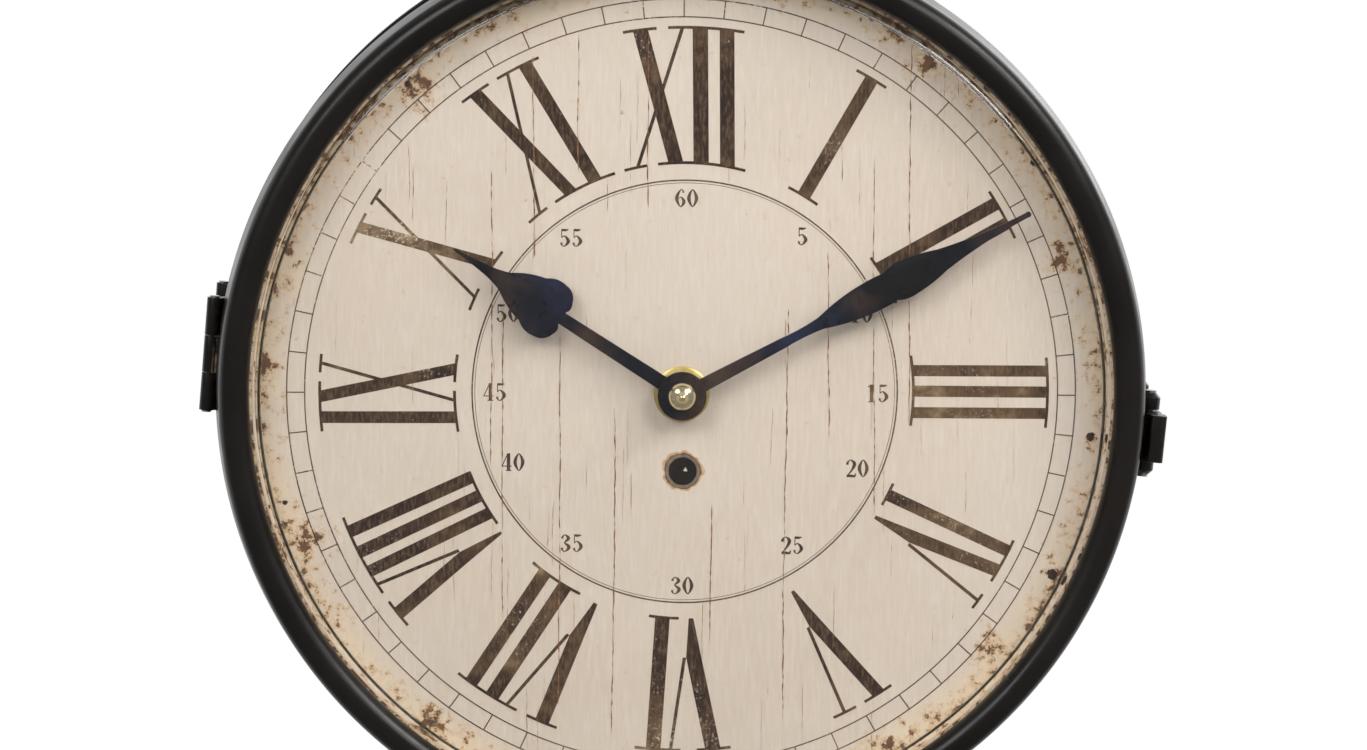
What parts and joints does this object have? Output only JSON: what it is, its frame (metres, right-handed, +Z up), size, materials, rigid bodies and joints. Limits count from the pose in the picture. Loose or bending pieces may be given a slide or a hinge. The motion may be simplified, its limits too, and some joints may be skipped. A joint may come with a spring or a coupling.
{
  "type": "double sided station clock",
  "caption": "Round double sided clock with hinged bezels, domed lenses and its own movement and hands on each face, hung from a wrought scroll bracket for a wall.",
  "frame": {"origin": "centre of the wall plate's back face, midway between its two screw holes", "axes": "+X away from the wall along the arm, -Y out of the front dial, +Z up"},
  "size_m": [0.3356, 0.088, 0.35],
  "materials": {
    "black_shell": "satin black enamel",
    "black_iron": "matt black paint, hammered",
    "dial_board": "printed paper on thin board",
    "clear_lens": "clear, polished",
    "zinc_steel": "zinc plated",
    "worn_brass": "satin, slightly worn",
    "blued_hand": "satin blue black",
    "black_moulding": "fine matt",
    "white_moulding": "smooth matt",
    "grey_rubber": "matt",
    "cell_jacket": "gloss wrap",
    "copper_wire": "lacquered copper wire",
    "green_laminate": "solder mask"
  },
  "bodies": {
    "case": {"wall_plate": "black_iron", "bracket_arm": "black_iron", "arm_finial": "black_iron", "bracket_scroll": "black_iron", "scroll_rivets": "black_iron", "hanger_stem": "black_iron", "stem_nut": "black_iron", "hanger_saddle": "black_iron", "saddle_screws": "black_iron", "saddle_nuts": "zinc_steel", "drum": "black_shell", "fitting_rivets": "black_shell", "dial_screws": "zinc_steel", "hinge_pins": "zinc_steel", "catch_pins": "zinc_steel", "battery_contacts": "zinc_steel", "rubber_washers": "grey_rubber", "dial_washers": "worn_brass", "bush_nuts": "worn_brass", "motor_coils": "copper_wire", "circuit_boards": "green_laminate", "dial_seat_front": "zinc_steel", "dial_front": "dial_board", "hinge_case_leaf_front": "black_shell", "catch_bracket_front": "black_shell", "movement_case_front": "black_moulding", "movement_lid_front": "black_moulding", "bush_front": "worn_brass", "battery_front": "cell_jacket", "dial_seat_rear": "zinc_steel", "dial_rear": "dial_board", "hinge_case_leaf_rear": "black_shell", "catch_bracket_rear": "black_shell", "movement_case_rear": "black_moulding", "movement_lid_rear": "black_moulding", "bush_rear": "worn_brass", "battery_rear": "cell_jacket"},
    "bezel_front": {"bezel_ring_front": "black_shell", "lens_front": "clear_lens", "lens_retainer_front": "zinc_steel", "hinge_bezel_leaf_front": "black_shell"},
    "catch_front": {"catch_lever_front": "black_shell"},
    "minute_front": {"minute_arbor_front": "worn_brass", "minute_hand_front": "blued_hand", "cap_nut_front": "worn_brass"},
    "hour_front": {"hour_tube_front": "white_moulding", "hour_hand_front": "blued_hand"},
    "setting_front": {"set_wheel_front": "white_moulding"},
    "bezel_rear": {"bezel_ring_rear": "black_shell", "lens_rear": "clear_lens", "lens_retainer_rear": "zinc_steel", "hinge_bezel_leaf_rear": "black_shell"},
    "catch_rear": {"catch_lever_rear": "black_shell"},
    "minute_rear": {"minute_arbor_rear": "worn_brass", "minute_hand_rear": "blued_hand", "cap_nut_rear": "worn_brass"},
    "hour_rear": {"hour_tube_rear": "white_moulding", "hour_hand_rear": "blued_hand"},
    "setting_rear": {"set_wheel_rear": "white_moulding"}
  },
  "joints": [
    {"name": "bezel_front_swing", "type": "hinge", "parent": "case", "child": "bezel_front", "pos_m": [0.06851, -0.0205, -0.15465], "axis": [-0.0785, 0, -0.9969], "range_deg": [0, 100]},
    {"name": "catch_front_turn", "type": "hinge", "parent": "case", "child": "catch_front", "pos_m": [0.33108, -0.015, -0.1767], "axis": [0.0889, 0, 0.996], "range_deg": [0, 95]},
    {"name": "minute_front_spin", "type": "hinge", "parent": "case", "child": "minute_front", "pos_m": [0.2, -0.02, -0.165], "axis": [0, 1, 0], "continuous": true},
    {"name": "hour_front_spin", "type": "hinge", "parent": "case", "child": "hour_front", "pos_m": [0.2, -0.02, -0.165], "axis": [0, 1, 0], "continuous": true},
    {"name": "setting_front_spin", "type": "hinge", "parent": "case", "child": "setting_front", "pos_m": [0.2, -0.005, -0.155], "axis": [0, 1, 0], "continuous": true},
    {"name": "bezel_rear_swing", "type": "hinge", "parent": "case", "child": "bezel_rear", "pos_m": [0.06851, 0.0205, -0.15465], "axis": [0.0785, 0, 0.9969], "range_deg": [0, 100]},
    {"name": "catch_rear_turn", "type": "hinge", "parent": "case", "child": "catch_rear", "pos_m": [0.33108, 0.015, -0.1767], "axis": [-0.0889, 0, -0.996], "range_deg": [0, 95]},
    {"name": "minute_rear_spin", "type": "hinge", "parent": "case", "child": "minute_rear", "pos_m": [0.2, 0.02, -0.165], "axis": [0, -1, 0], "continuous": true},
    {"name": "hour_rear_spin", "type": "hinge", "parent": "case", "child": "hour_rear", "pos_m": [0.2, 0.02, -0.165], "axis": [0, -1, 0], "continuous": true},
    {"name": "setting_rear_spin", "type": "hinge", "parent": "case", "child": "setting_rear", "pos_m": [0.2, 0.005, -0.155], "axis": [0, -1, 0], "continuous": true}
  ],
  "couplings": [
    {"joint": "hour_front_spin", "follows": "minute_front_spin", "ratio": 0.083333},
    {"joint": "setting_front_spin", "follows": "minute_front_spin", "ratio": -0.33333},
    {"joint": "hour_rear_spin", "follows": "minute_rear_spin", "ratio": 0.083333},
    {"joint": "setting_rear_spin", "follows": "minute_rear_spin", "ratio": -0.33333}
  ]
}
